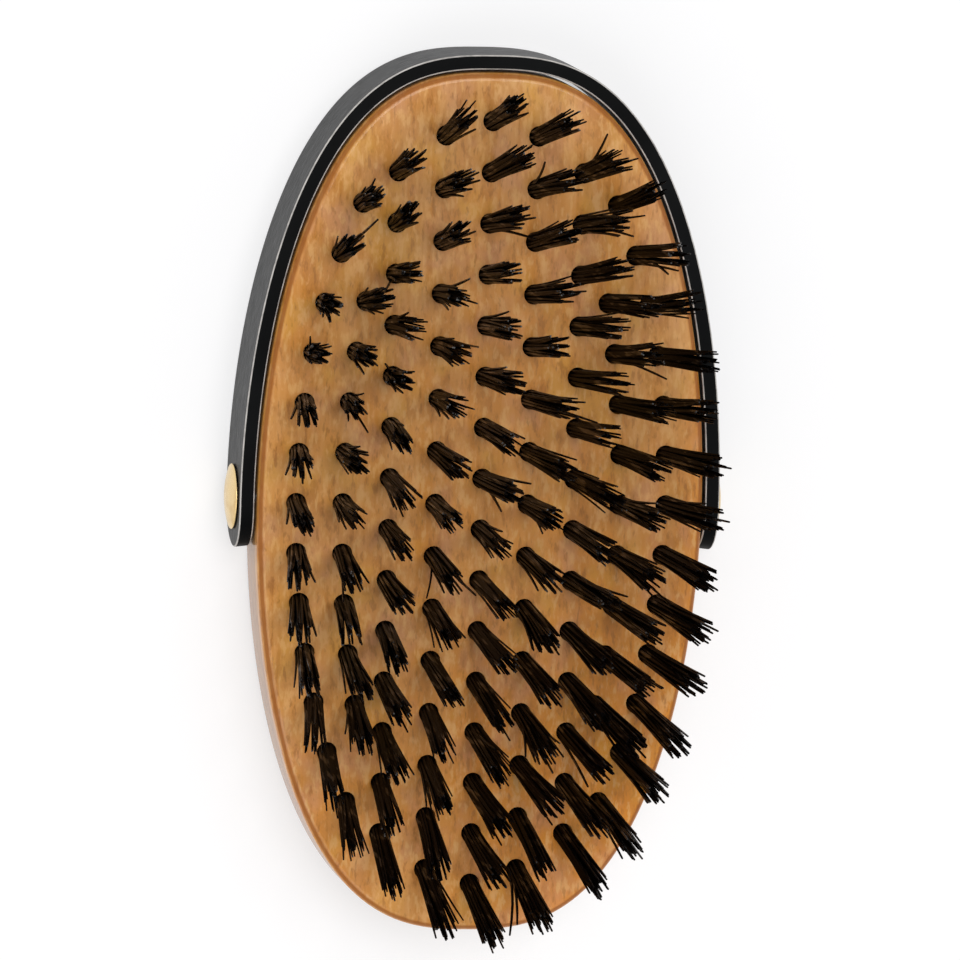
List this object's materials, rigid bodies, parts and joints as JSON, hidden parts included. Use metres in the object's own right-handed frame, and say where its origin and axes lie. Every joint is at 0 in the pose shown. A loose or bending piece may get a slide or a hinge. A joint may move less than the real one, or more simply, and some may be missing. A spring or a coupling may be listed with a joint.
{
  "type": "shoe shine brush",
  "caption": "Oval wooden palm brush with rows of dark bristle tufts, and a leather hand strap that swings over the back on two dome-headed nails.",
  "frame": {"origin": "centre of the block's flat back, which the brush lies on", "axes": "+Z the way the bristles point, +Y along the block to the end that the stowed strap goes round, +X across"},
  "size_m": [0.0816, 0.1428, 0.0395],
  "materials": {
    "varnished_wood": "satin varnish",
    "black_bristle": "natural black bristle, slight sheen",
    "anchor_wire": "drawn flat wire",
    "black_leather": "smooth, polished edge",
    "brass": "polished",
    "nail_steel": "plain"
  },
  "bodies": {
    "brush": {"block": "varnished_wood", "bristle_row_1": "black_bristle", "bristle_row_2": "black_bristle", "bristle_row_3": "black_bristle", "bristle_row_4": "black_bristle", "bristle_row_5": "black_bristle", "bristle_row_6": "black_bristle", "bristle_row_7": "black_bristle", "bristle_row_8": "black_bristle", "bristle_row_9": "black_bristle", "anchor_row_1": "anchor_wire", "anchor_row_2": "anchor_wire", "anchor_row_3": "anchor_wire", "anchor_row_4": "anchor_wire", "anchor_row_5": "anchor_wire", "anchor_row_6": "anchor_wire", "anchor_row_7": "anchor_wire", "anchor_row_8": "anchor_wire", "anchor_row_9": "anchor_wire", "nail_caps": "brass", "nail_shanks": "nail_steel"},
    "strap": {"hand_strap": "black_leather"}
  },
  "joints": [
    {"name": "strap_swing", "type": "hinge", "parent": "brush", "child": "strap", "pos_m": [0, 0, 0.0074], "axis": [-1, 0, 0], "range_deg": [0, 180]}
  ]
}
